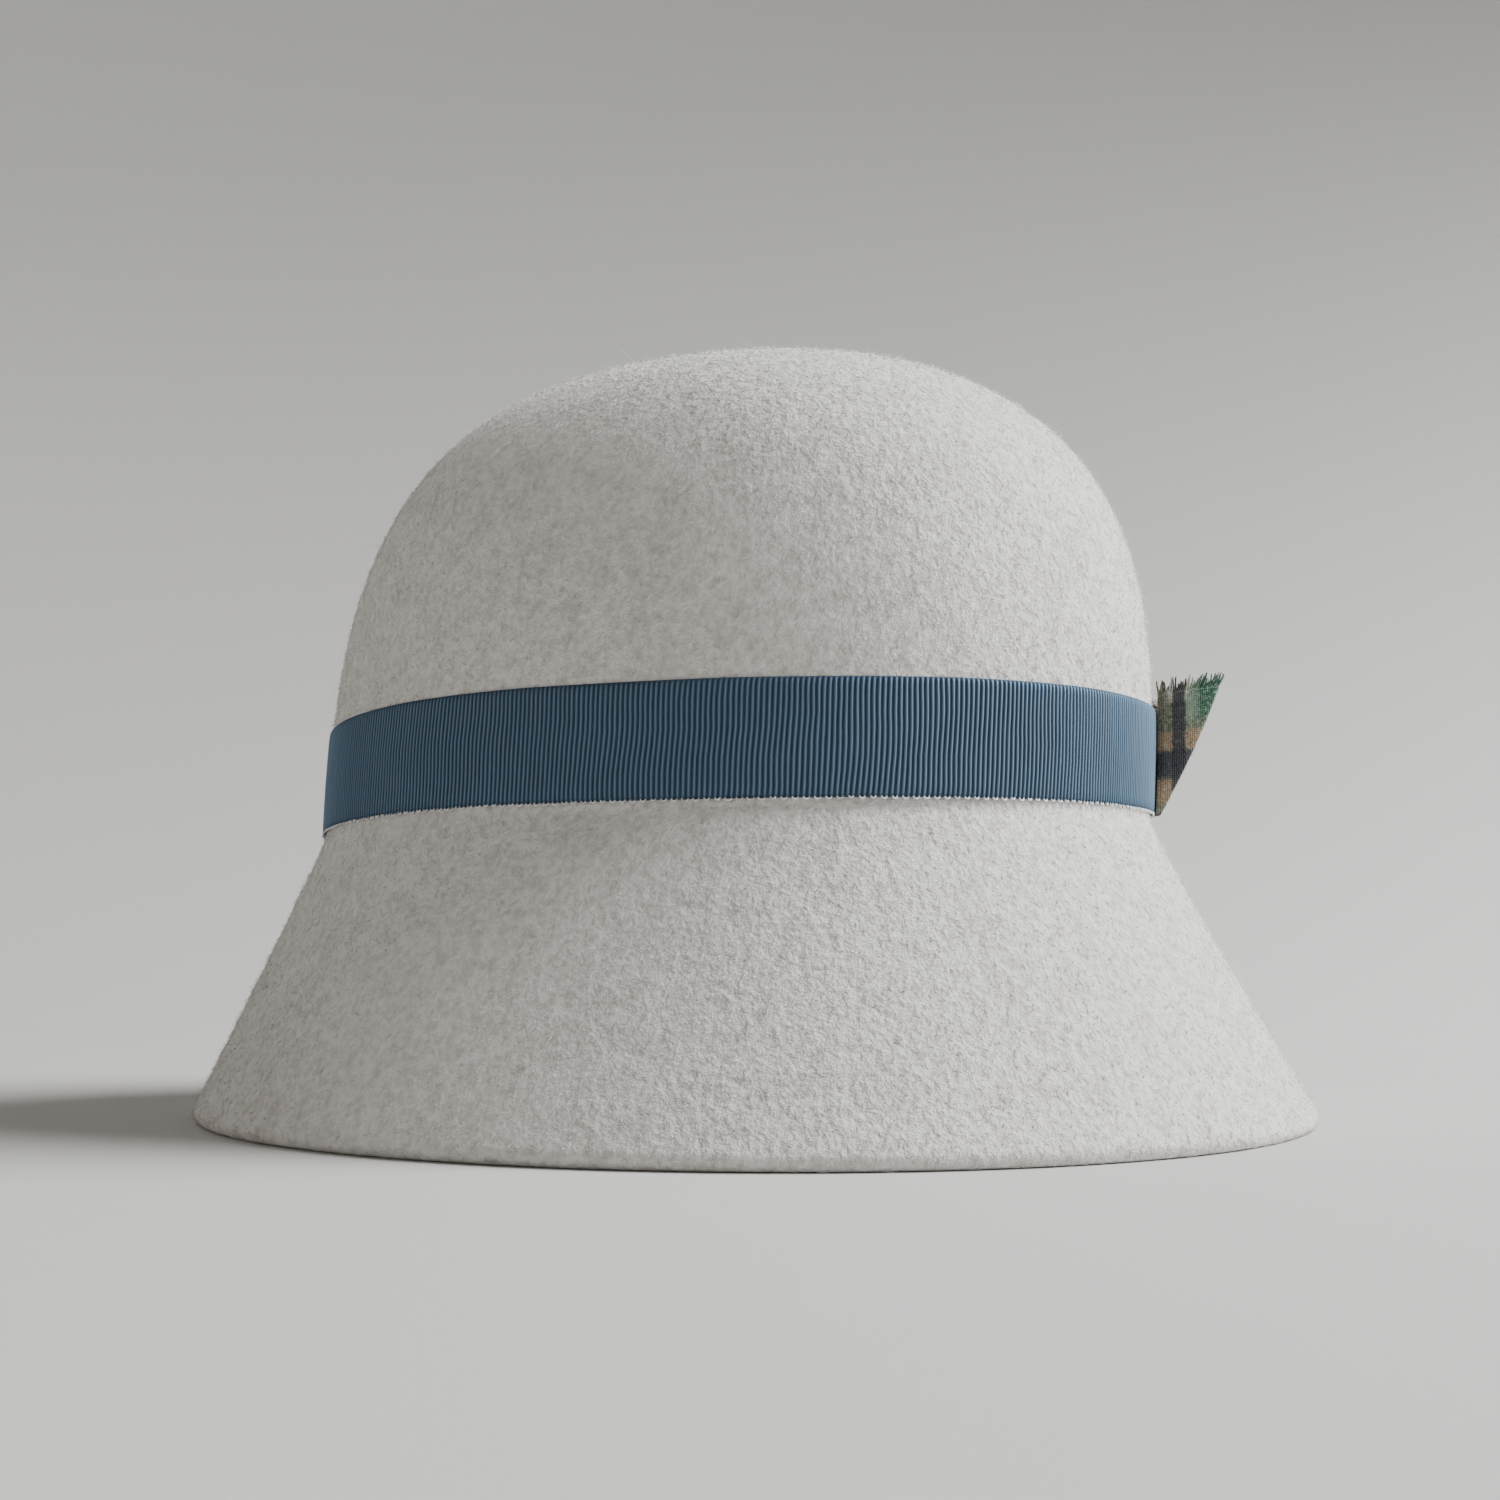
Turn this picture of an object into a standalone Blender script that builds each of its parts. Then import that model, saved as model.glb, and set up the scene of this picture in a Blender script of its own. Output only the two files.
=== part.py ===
"""A felt cloche hat that stands on its brim: one moulded felt body with a turned-in hem, a grosgrain ribbon
round the foot of the crown, and a small pleated fan of plaid cloth on the ribbon.

Metres, +Z up. The hat faces -Y and the wearer's left is +X. The origin is the middle of the brim's
outline, on the floor.
"""

import math

import bmesh
import bpy
from mathutils import Vector

# The crown: its outside at the crease, where the ribbon sits
CROWN_LENGTH = 0.202  # front to back
CROWN_WIDTH = 0.174
CROWN_HEIGHT = 0.1108  # from the crease at the sides to the top
CROWN_SET_BACK = 0.005  # the crown's foot lies this far behind the brim's middle
CROWN_LEAN = 0.006  # the top of the crown lies this far in front of its foot
CROWN_FULLNESS = 2.92  # profile exponent: 2 is an ellipse, more is fuller

# The brim: a deep bell, its outside measured across the hem
BRIM_LENGTH = 0.266
BRIM_WIDTH = 0.250
BRIM_DEPTH_FRONT = 0.0708  # from the crease down to the floor
BRIM_DEPTH_SIDE = 0.0697
BRIM_DEPTH_BACK = 0.0645
CREASE_BLEND = 0.0010  # drop over which the brim turns out of the crown's wall
BELL_FRONT = 1.10  # above 1, the brim flares more and more towards its edge
BELL_BACK = 1.02
BRIM_OVAL = 2.05  # exponents of the ovals seen from above: 2 is an ellipse, more is squarer
CROWN_OVAL = 2.18

# The felt
FELT_WALL = 0.0026
HEM_WIDTH = 0.0060  # felt turned up inside the brim
REST_FLAT = 0.00025  # the hem's round edge is pressed flat by this much where it rests

# The ribbon
RIBBON_WIDTH = 0.0246
RIBBON_THICKNESS = 0.0010
RIBBON_ABOVE_CREASE = 0.0004

# The pleated fan
FAN_ANGLE = 19.0  # degrees from the hat's front to the fan's upright border, towards the wearer's left
FAN_CLOTH_HEIGHT = 0.0283
FRINGE_LENGTH = 0.0038
FAN_TOP_WIDTH = 0.036
FAN_FOOT_WIDTH = 0.0072
FAN_TOP_PROUD = 0.0168  # how far the folds stand out of the ribbon
FAN_TOP_RISE = 0.0023  # the top edge climbs by this much from the ribbon's face out to the folds
FAN_FOOT_PROUD = 0.0008
CLOTH_THICKNESS = 0.0010
STRANDS_PER_PANEL = 5
STRAND_SHARE = 0.68  # of the space that each strand has, the rest is gap
STRAND_TAPER = 0.7  # a strand's tip against its foot

FIT = 0.0003  # gap between pieces that touch

# Mesh density
AROUND = 72
CROWN_ROWS = 13
BRIM_ROWS = 9
ROLL_ROWS = 3  # on each side of the flat that the brim rests on
HEM_ROWS = 2
ROW_CROWDING = 1.15  # above 1, the brim's rows lie closer together near the crease
RIBBON_ROWS = 4
FAN_ROWS = 3
LONGEST_MITRE = 2.2  # at the fan's folds, in half thicknesses of its cloth
SHARP_ANGLE = 35  # degrees between faces

# The fan's folds from its front border back, as shares of its width and of how far it stands proud
FAN_FOLDS = (
    {"across": 0.00, "proud": 0.00},
    {"across": 0.18, "proud": 1.00},
    {"across": 0.36, "proud": 0.30},
    {"across": 0.52, "proud": 0.94},
    {"across": 0.70, "proud": 0.26},
    {"across": 0.85, "proud": 0.80},
    {"across": 1.00, "proud": 0.00},
)

COLOURS = {
    "felt_body": {"colour": (0.60, 0.58, 0.56), "roughness": 0.95},
    "ribbon_band": {"colour": (0.10, 0.14, 0.20), "roughness": 0.55},
    "plaid_fan": {"colour": (0.12, 0.19, 0.13), "roughness": 0.90},
}

STEP = 1e-4  # for slopes of the surface, in radians and in shares
HALVINGS = 40  # when a height on the crown is looked up
FRONT = -math.pi / 2  # the angle round the hat at its front: +X is 0, +Y is a quarter turn


def oval(theta, half_width, half_length, fullness):
    """A point of a full oval about the origin, seen from above."""
    c, s = math.cos(theta), math.sin(theta)
    k = (abs(c) ** fullness + abs(s) ** fullness) ** (-1 / fullness)
    return half_width * k * c, half_length * k * s


def round_the_hat(theta, front, side, back):
    """A value that changes smoothly between the hat's front, sides and back."""
    s = math.sin(theta)
    end = front if s < 0 else back
    return side + (end - side) * s * s


def crease_height(theta):
    return round_the_hat(theta, BRIM_DEPTH_FRONT, BRIM_DEPTH_SIDE, BRIM_DEPTH_BACK)


def crown_outside(theta, climb):
    """The crown's outer face. climb runs from 0 at the crease to 1 at the top."""
    a = climb * math.pi / 2
    c, s = math.cos(a), math.sin(a)
    k = (abs(c) ** CROWN_FULLNESS + abs(s) ** CROWN_FULLNESS) ** (-1 / CROWN_FULLNESS)
    x, y = oval(theta, CROWN_WIDTH / 2 * k * c, CROWN_LENGTH / 2 * k * c, CROWN_OVAL)
    foot = crease_height(theta)
    top = BRIM_DEPTH_SIDE + CROWN_HEIGHT
    return Vector((x, y + CROWN_SET_BACK - CROWN_LEAN * k * s, foot + (top - foot) * k * s))


def brim_outside(theta, drop):
    """The brim's outer face. drop runs from 0 at the crease to 1 at the hem's fold."""
    depth = crease_height(theta)
    blend = CREASE_BLEND / depth
    flare = (math.hypot(drop, blend) - blend) / (math.hypot(1, blend) - blend)
    bell = round_the_hat(theta, BELL_FRONT, (BELL_FRONT + BELL_BACK) / 2, BELL_BACK)
    flare = flare**bell
    top = oval(theta, CROWN_WIDTH / 2, CROWN_LENGTH / 2, CROWN_OVAL)
    # The fold's round edge reaches past the wall's end, so the wall ends short of the brim's full size
    reach = FELT_WALL * (1 - math.cos(math.atan2(BRIM_LENGTH - CROWN_LENGTH, 2 * depth)))
    edge = oval(theta, BRIM_WIDTH / 2 - reach, BRIM_LENGTH / 2 - reach, BRIM_OVAL)
    x = top[0] + (edge[0] - top[0]) * flare
    y = top[1] + CROWN_SET_BACK + (edge[1] - top[1] - CROWN_SET_BACK) * flare
    return Vector((x, y, depth + (hem_fold_height(theta) - depth) * drop))


def hem_fold_height(theta):
    """Height of the wall's outer face where the hem's round fold begins."""
    run = round_the_hat(
        theta,
        (BRIM_LENGTH - CROWN_LENGTH) / 2 + CROWN_SET_BACK,
        (BRIM_WIDTH - CROWN_WIDTH) / 2,
        (BRIM_LENGTH - CROWN_LENGTH) / 2 - CROWN_SET_BACK,
    )
    slope = math.atan2(run, crease_height(theta))
    return FELT_WALL * (1 + math.sin(slope)) - REST_FLAT


def outward(surface, theta, share):
    """The outward normal of a surface(theta, share) whose share grows up or down the hat."""
    low, high = max(0.0, share - STEP), min(1.0, share + STEP)
    along = surface(theta, high) - surface(theta, low)
    across = surface(theta + STEP, share) - surface(theta - STEP, share)
    normal = across.cross(along).normalized()
    point = surface(theta, share)
    away = Vector((point.x, point.y - CROWN_SET_BACK, point.z))
    return normal if normal.dot(away) > 0 else -normal


def crown_point(theta, climb, out):
    """A point that lies out metres outside the crown's outer face."""
    if climb >= 1:
        return Vector((0, CROWN_SET_BACK - CROWN_LEAN, BRIM_DEPTH_SIDE + CROWN_HEIGHT + out))
    return crown_outside(theta, climb) + outward(crown_outside, theta, climb) * out


def brim_point(theta, drop, out):
    """A point that lies out metres outside the brim's outer face."""
    return brim_outside(theta, drop) + outward(brim_outside, theta, drop) * out


def climb_at(theta, height):
    """The crown's climb at this height above the crease."""
    low, high = 0.0, 1.0
    foot = crease_height(theta)
    for _ in range(HALVINGS):
        middle = (low + high) / 2
        if crown_outside(theta, middle).z - foot < height:
            low = middle
        else:
            high = middle
    return (low + high) / 2


def hem_fold(theta):
    """The hem's round fold, from the brim's outer face under the edge to the inside, flat below."""
    normal = outward(brim_outside, theta, 1.0)
    centre = brim_point(theta, 1.0, -FELT_WALL)
    down = Vector((0, 0, -1))
    along = (down - normal * normal.dot(down)).normalized()
    lowest = math.atan2(along.dot(down), normal.dot(down))
    flat = math.acos(min(1.0, centre.z / FELT_WALL)) if centre.z < FELT_WALL else 0.0
    before = [lowest * (i + 1) / (ROLL_ROWS + 1) for i in range(ROLL_ROWS)]
    before = [a * (lowest - flat) / before[-1] for a in before]
    after_from = lowest + flat
    after = [after_from + (math.pi - after_from) * i / ROLL_ROWS for i in range(ROLL_ROWS + 1)]
    points = []
    for angle in before + after:
        point = centre + (normal * math.cos(angle) + along * math.sin(angle)) * FELT_WALL
        points.append(Vector((point.x, point.y, max(0.0, point.z))))
    for flat_point in (points[ROLL_ROWS - 1], points[ROLL_ROWS]):
        flat_point.z = 0.0
    return points


def felt_section(theta):
    """One section of the felt, down its outside, round the hem and up its inside."""
    climbs = [1 - (i + 1) / (CROWN_ROWS + 1) for i in range(CROWN_ROWS)]
    drops = [(i / BRIM_ROWS) ** ROW_CROWDING for i in range(BRIM_ROWS + 1)]
    hem_drop = 1 - HEM_WIDTH / crease_height(theta)
    hem_drops = [1 - (1 - hem_drop) * (i + 1) / HEM_ROWS for i in range(HEM_ROWS)]
    inner_drops = [hem_drop * (i / (BRIM_ROWS - 1)) ** ROW_CROWDING for i in range(BRIM_ROWS)]
    outside = [crown_point(theta, c, 0) for c in climbs] + [brim_point(theta, d, 0) for d in drops]
    hem = [brim_point(theta, d, -2 * FELT_WALL) for d in hem_drops]
    inside = [brim_point(theta, d, -FELT_WALL) for d in reversed(inner_drops)]
    inside += [crown_point(theta, c, -FELT_WALL) for c in reversed(climbs)]
    return outside + hem_fold(theta) + hem + inside


def around(count):
    return [2 * math.pi * i / count for i in range(count)]


def add_object(name, mesh_builder):
    """Makes the named object from a bmesh, with its own plain material."""
    mesh = bpy.data.meshes.new(name)
    bm = bmesh.new()
    mesh_builder(bm)
    bmesh.ops.recalc_face_normals(bm, faces=bm.faces)
    bm.to_mesh(mesh)
    bm.free()
    mesh.shade_smooth()
    mesh.set_sharp_from_angle(angle=math.radians(SHARP_ANGLE))
    material = bpy.data.materials.new(name)
    material.use_nodes = True
    shader = material.node_tree.nodes["Principled BSDF"]
    shader.inputs["Base Color"].default_value = (*COLOURS[name]["colour"], 1)
    shader.inputs["Roughness"].default_value = COLOURS[name]["roughness"]
    shader.inputs["Metallic"].default_value = 0.0
    mesh.materials.append(material)
    obj = bpy.data.objects.new(name, mesh)
    bpy.context.scene.collection.objects.link(obj)
    return obj


def bridge_rows(bm, rows, closed_rows):
    """Quads between neighbouring rows of vertices. Each row is a ring round the hat."""
    last = len(rows) if closed_rows else len(rows) - 1
    for i in range(last):
        one, two = rows[i], rows[(i + 1) % len(rows)]
        for j in range(len(one)):
            k = (j + 1) % len(one)
            bm.faces.new((one[j], one[k], two[k], two[j]))


def build_felt(bm):
    sections = [felt_section(theta) for theta in around(AROUND)]
    rows = [[bm.verts.new(section[i]) for section in sections] for i in range(len(sections[0]))]
    bridge_rows(bm, rows, closed_rows=False)
    for row, out in ((rows[0], 0.0), (rows[-1], -FELT_WALL)):
        pole = bm.verts.new(crown_point(0.0, 1.0, out))
        for j in range(AROUND):
            bm.faces.new((row[j], row[(j + 1) % AROUND], pole))


def ribbon_section(theta):
    """The ribbon's cross-section: up its inner face and down its outer face."""
    heights = [RIBBON_ABOVE_CREASE + RIBBON_WIDTH * i / RIBBON_ROWS for i in range(RIBBON_ROWS + 1)]
    climbs = [climb_at(theta, h) for h in heights]
    inner = [crown_point(theta, c, FIT) for c in climbs]
    outer = [crown_point(theta, c, FIT + RIBBON_THICKNESS) for c in reversed(climbs)]
    return inner + outer


def build_ribbon(bm):
    sections = [ribbon_section(theta) for theta in around(AROUND)]
    rows = [[bm.verts.new(section[i]) for section in sections] for i in range(len(sections[0]))]
    bridge_rows(bm, rows, closed_rows=True)


def fan_seat(across, height, proud):
    """A point on the fan: across and height lie on the ribbon's face, and proud stands out of it."""
    border = FRONT + math.radians(FAN_ANGLE)
    rise = RIBBON_ABOVE_CREASE + height
    climb = climb_at(border, rise)
    turn = (crown_outside(border + STEP, climb) - crown_outside(border - STEP, climb)).length
    theta = border + across * 2 * STEP / turn
    out = FIT + RIBBON_THICKNESS + FIT + proud
    return crown_point(theta, climb_at(theta, rise), out)


def fan_height(share, proud):
    """Height of a point of the fan above its foot: the top edge climbs towards the folds."""
    return (FAN_CLOTH_HEIGHT + FRINGE_LENGTH + FAN_TOP_RISE * proud / FAN_TOP_PROUD) * share


def fan_outline(share):
    """The fan's folded line at this share of its height, as points (across, proud)."""
    width = FAN_FOOT_WIDTH + (FAN_TOP_WIDTH - FAN_FOOT_WIDTH) * share
    stand = FAN_FOOT_PROUD + (FAN_TOP_PROUD - FAN_FOOT_PROUD) * share
    folds = [(f["across"] * width, CLOTH_THICKNESS / 2 + f["proud"] * stand) for f in FAN_FOLDS]
    points = [Vector(folds[0])]
    for start, end in zip(folds, folds[1:]):
        for strand in range(STRANDS_PER_PANEL):
            for edge in (strand + STRAND_SHARE, strand + 1):
                points.append(Vector(start).lerp(Vector(end), edge / STRANDS_PER_PANEL))
    return points


def both_faces(points):
    """The cloth's two faces beside its folded line, with mitred corners."""
    one, two = [], []
    for i, point in enumerate(points):
        before = (point - points[i - 1]).normalized() if i else None
        after = (points[i + 1] - point).normalized() if i + 1 < len(points) else None
        before, after = before or after, after or before
        side = (before + after).normalized()
        mitre = 1 / max(1 / LONGEST_MITRE, side.dot(after))
        offset = Vector((-side.y, side.x)) * (CLOTH_THICKNESS / 2 * mitre)
        one.append(point + offset)
        two.append(point - offset)
    return one, two


def build_fan(bm):
    cloth_share = FAN_CLOTH_HEIGHT / (FAN_CLOTH_HEIGHT + FRINGE_LENGTH)
    grids = []
    for i in range(FAN_ROWS + 1):
        share = cloth_share * i / FAN_ROWS
        faces = both_faces(fan_outline(share))
        placed = [[fan_seat(p.x, fan_height(share, p.y), p.y) for p in face] for face in faces]
        grids.append([[bm.verts.new(point) for point in face] for face in placed])
    columns = len(grids[0][0])
    for lower, upper in zip(grids, grids[1:]):
        for face in (0, 1):
            for j in range(columns - 1):
                bm.faces.new((lower[face][j], lower[face][j + 1], upper[face][j + 1], upper[face][j]))
        for j in (0, columns - 1):
            bm.faces.new((lower[0][j], lower[1][j], upper[1][j], upper[0][j]))
    tips = both_faces(fan_outline(1.0))
    for j in range(columns - 1):
        foot = grids[0]
        bm.faces.new((foot[0][j], foot[0][j + 1], foot[1][j + 1], foot[1][j]))
        top = grids[-1]
        if j % 2:
            bm.faces.new((top[0][j], top[0][j + 1], top[1][j + 1], top[1][j]))
            continue
        # A strand of the frayed edge, which is thinner than the woven cloth below it
        ring = [top[0][j], top[0][j + 1], top[1][j + 1], top[1][j]]
        corners = [tips[0][j], tips[0][j + 1], tips[1][j + 1], tips[1][j]]
        middle = sum(corners, Vector((0, 0))) / 4
        corners = [middle + (c - middle) * STRAND_TAPER for c in corners]
        ends = [bm.verts.new(fan_seat(c.x, fan_height(1.0, c.y), c.y)) for c in corners]
        for k in range(4):
            m = (k + 1) % 4
            bm.faces.new((ring[k], ring[m], ends[m], ends[k]))
        bm.faces.new(ends)


def clear_scene():
    for obj in list(bpy.data.objects):
        bpy.data.objects.remove(obj)


clear_scene()
add_object("felt_body", build_felt)
add_object("ribbon_band", build_ribbon)
add_object("plaid_fan", build_fan)
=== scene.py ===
"""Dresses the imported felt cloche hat: matted wool felt with its nap, a grosgrain ribbon with its
ribs and edge loops, and a pleated fan of woven plaid with a frayed top, on a plain pale floor.

Metres, +Z up. The hat faces -Y and the wearer's left is +X. The shapes follow the formulas and
sizes of the part's solids.
"""

import math

import bpy
import numpy as np
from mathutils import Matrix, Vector, noise


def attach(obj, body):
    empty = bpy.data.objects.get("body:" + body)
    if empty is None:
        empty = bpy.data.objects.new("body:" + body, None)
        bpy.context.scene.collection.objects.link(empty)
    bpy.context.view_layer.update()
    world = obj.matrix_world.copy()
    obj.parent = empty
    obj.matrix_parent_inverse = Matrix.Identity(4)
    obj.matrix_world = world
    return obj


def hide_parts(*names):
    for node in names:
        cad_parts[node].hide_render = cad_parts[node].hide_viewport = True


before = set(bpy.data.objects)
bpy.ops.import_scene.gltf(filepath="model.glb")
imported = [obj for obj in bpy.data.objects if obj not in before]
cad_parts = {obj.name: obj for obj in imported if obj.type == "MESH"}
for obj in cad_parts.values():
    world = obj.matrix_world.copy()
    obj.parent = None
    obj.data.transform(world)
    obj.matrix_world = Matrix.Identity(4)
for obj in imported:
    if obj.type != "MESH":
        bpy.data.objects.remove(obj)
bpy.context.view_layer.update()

# ---- Sizes of the part's solids ----
CROWN_LENGTH = 0.202
CROWN_WIDTH = 0.174
CROWN_HEIGHT = 0.1108
CROWN_SET_BACK = 0.005
CROWN_LEAN = 0.006
CROWN_FULLNESS = 2.92
CROWN_OVAL = 2.18
BRIM_LENGTH = 0.266
BRIM_WIDTH = 0.250
BRIM_DEPTH_FRONT = 0.0708
BRIM_DEPTH_SIDE = 0.0697
BRIM_DEPTH_BACK = 0.0645
CREASE_BLEND = 0.0010
BELL_FRONT = 1.10
BELL_BACK = 1.02
BRIM_OVAL = 2.05
FELT_WALL = 0.0026
HEM_WIDTH = 0.0060
REST_FLAT = 0.00025
RIBBON_WIDTH = 0.0246
RIBBON_ABOVE_CREASE = 0.0004
FAN_ANGLE = 19.0
FAN_CLOTH_HEIGHT = 0.0283
FRINGE_LENGTH = 0.0038
FAN_TOP_WIDTH = 0.036
FAN_FOOT_WIDTH = 0.0072
FAN_TOP_PROUD = 0.0168
FAN_TOP_RISE = 0.0023
FAN_FOOT_PROUD = 0.0008
FIT = 0.0003
FAN_FOLDS = (
    {"across": 0.00, "proud": 0.00},
    {"across": 0.18, "proud": 1.00},
    {"across": 0.36, "proud": 0.30},
    {"across": 0.52, "proud": 0.94},
    {"across": 0.70, "proud": 0.26},
    {"across": 0.85, "proud": 0.80},
    {"across": 1.00, "proud": 0.00},
)

# ---- How finely the surfaces are measured and meshed ----
FRONT = -math.pi / 2
STEP = 1e-4  # of an angle or a share, for slopes
HALVINGS = 40
MEASURE_POINTS = 3000
GIRTH_POINTS = 7201
AROUND = 448
OUTSIDE_ROW = 0.00148
INSIDE_ROW = 0.0030

RNG_SEED = 11
rng = np.random.default_rng(RNG_SEED)


# ---- The hat's surfaces, for whole arrays of points ----
def oval(theta, half_width, half_length, fullness):
    c, s = np.cos(theta), np.sin(theta)
    k = (np.abs(c) ** fullness + np.abs(s) ** fullness) ** (-1 / fullness)
    return half_width * k * c, half_length * k * s


def round_the_hat(theta, front, side, back):
    """A value that goes smoothly from front to side to back."""
    s = np.sin(theta)
    return side + (np.where(s < 0, front, back) - side) * s * s


def crease_height(theta):
    return round_the_hat(theta, BRIM_DEPTH_FRONT, BRIM_DEPTH_SIDE, BRIM_DEPTH_BACK)


def crown_outside(theta, climb):
    """The crown's outer face: climb is 0 at the crease and 1 at the top."""
    theta, climb = np.broadcast_arrays(theta, climb)
    a = climb * math.pi / 2
    c, s = np.cos(a), np.sin(a)
    k = (np.abs(c) ** CROWN_FULLNESS + np.abs(s) ** CROWN_FULLNESS) ** (-1 / CROWN_FULLNESS)
    x, y = oval(theta, CROWN_WIDTH / 2 * k * c, CROWN_LENGTH / 2 * k * c, CROWN_OVAL)
    foot = crease_height(theta)
    top = BRIM_DEPTH_SIDE + CROWN_HEIGHT
    return np.stack([x, y + CROWN_SET_BACK - CROWN_LEAN * k * s, foot + (top - foot) * k * s], -1)


def hem_fold_height(theta):
    run = round_the_hat(
        theta,
        (BRIM_LENGTH - CROWN_LENGTH) / 2 + CROWN_SET_BACK,
        (BRIM_WIDTH - CROWN_WIDTH) / 2,
        (BRIM_LENGTH - CROWN_LENGTH) / 2 - CROWN_SET_BACK,
    )
    return FELT_WALL * (1 + np.sin(np.arctan2(run, crease_height(theta)))) - REST_FLAT


def brim_outside(theta, drop):
    """The brim's outer face: drop is 0 at the crease and 1 where the edge starts to fold in."""
    theta, drop = np.broadcast_arrays(theta, drop)
    depth = crease_height(theta)
    blend = CREASE_BLEND / depth
    flare = (np.hypot(drop, blend) - blend) / (np.hypot(1, blend) - blend)
    bell = round_the_hat(theta, BELL_FRONT, (BELL_FRONT + BELL_BACK) / 2, BELL_BACK)
    flare = np.maximum(flare, 0) ** bell
    top = oval(theta, CROWN_WIDTH / 2, CROWN_LENGTH / 2, CROWN_OVAL)
    reach = FELT_WALL * (1 - np.cos(np.arctan2(BRIM_LENGTH - CROWN_LENGTH, 2 * depth)))
    edge = oval(theta, BRIM_WIDTH / 2 - reach, BRIM_LENGTH / 2 - reach, BRIM_OVAL)
    x = top[0] + (edge[0] - top[0]) * flare
    y = top[1] + CROWN_SET_BACK + (edge[1] - top[1] - CROWN_SET_BACK) * flare
    return np.stack([x, y, depth + (hem_fold_height(theta) - depth) * drop], -1)


def unit(v):
    return v / np.maximum(np.linalg.norm(v, axis=-1, keepdims=True), 1e-12)


def outward(surface, theta, share):
    """The outward normals of a surface(theta, share)."""
    theta, share = np.broadcast_arrays(np.asarray(theta, float), np.asarray(share, float))
    low, high = np.maximum(0.0, share - STEP), np.minimum(1.0, share + STEP)
    along = surface(theta, high) - surface(theta, low)
    across = surface(theta + STEP, share) - surface(theta - STEP, share)
    normal = unit(np.cross(across, along))
    away = surface(theta, share) - np.array([0, CROWN_SET_BACK, 0])
    return np.where((normal * away).sum(-1, keepdims=True) > 0, normal, -normal)


def on_surface(surface, theta, share, out):
    """Points that lie out metres outside a surface, with its outward normals there."""
    normal = outward(surface, theta, share)
    return surface(theta, share) + normal * np.asarray(out, float)[..., None], normal


def climb_at(theta, height):
    """The crown's climb at this height above the crease."""
    theta, height = np.broadcast_arrays(np.asarray(theta, float), np.asarray(height, float))
    low, high = np.zeros(theta.shape), np.ones(theta.shape)
    foot = crease_height(theta)
    for _ in range(HALVINGS):
        middle = (low + high) / 2
        below = crown_outside(theta, middle)[..., 2] - foot < height
        low, high = np.where(below, middle, low), np.where(below, high, middle)
    return (low + high) / 2


def run_along(points):
    """The length along a line of points, from its first point to each."""
    return np.concatenate([[0], np.cumsum(np.linalg.norm(np.diff(points, axis=0), axis=1))])


def even_shares(surface, theta, start, end, step):
    """Shares from start to end that lie step metres apart along the surface at this angle."""
    fine = np.linspace(start, end, MEASURE_POINTS)
    length = run_along(surface(theta, fine))
    count = max(2, round(length[-1] / step))
    return np.interp(np.linspace(0, length[-1], count + 1), length, fine)


def ring_angles(count):
    return np.arange(count) * (2 * math.pi / count)


# ---- Meshes from arrays ----
STEEP = 0.9  # a tube whose direction has more of Z than this is turned about X


def make_mesh(name, vertices, faces, material, uv=None, values=None):
    """An object with this mesh. faces is a list of index arrays, three or four wide, and values
    holds named numbers for each vertex."""
    mesh = bpy.data.meshes.new(name)
    vertices = np.asarray(vertices, np.float32)
    mesh.vertices.add(len(vertices))
    mesh.vertices.foreach_set("co", vertices.ravel())
    indices = np.concatenate([np.asarray(f, np.int32).ravel() for f in faces])
    sizes = np.concatenate([np.full(len(f), np.asarray(f).shape[1], np.int32) for f in faces])
    starts = np.concatenate([[0], np.cumsum(sizes)[:-1]]).astype(np.int32)
    mesh.loops.add(len(indices))
    mesh.loops.foreach_set("vertex_index", indices)
    mesh.polygons.add(len(sizes))
    mesh.polygons.foreach_set("loop_start", starts)
    mesh.update(calc_edges=True)
    mesh.shade_smooth()
    if uv is not None:
        layer = mesh.uv_layers.new(name="cloth")
        layer.data.foreach_set("uv", np.asarray(uv, np.float32)[indices].ravel())
    for key, numbers in (values or {}).items():
        attribute = mesh.attributes.new(key, "FLOAT", "POINT")
        attribute.data.foreach_set("value", np.asarray(numbers, np.float32))
    mesh.materials.append(material)
    obj = bpy.data.objects.new(name, mesh)
    bpy.context.scene.collection.objects.link(obj)
    return obj


def bridge(first, second):
    """Faces between two rings of vertex indices. One may have half as many as the other."""
    n, m = len(first), len(second)
    if n == m:
        return [np.stack([first, np.roll(first, -1), np.roll(second, -1), second], 1)]
    if m == 2 * n:
        return [f[:, ::-1] for f in bridge(second, first)]
    after = np.roll(second, -1)
    even, odd, last = first[0::2], first[1::2], np.roll(first, -2)[0::2]
    return [
        np.stack([even, odd, second], 1),
        np.stack([odd, last, after], 1),
        np.stack([odd, after, second], 1),
    ]


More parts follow.
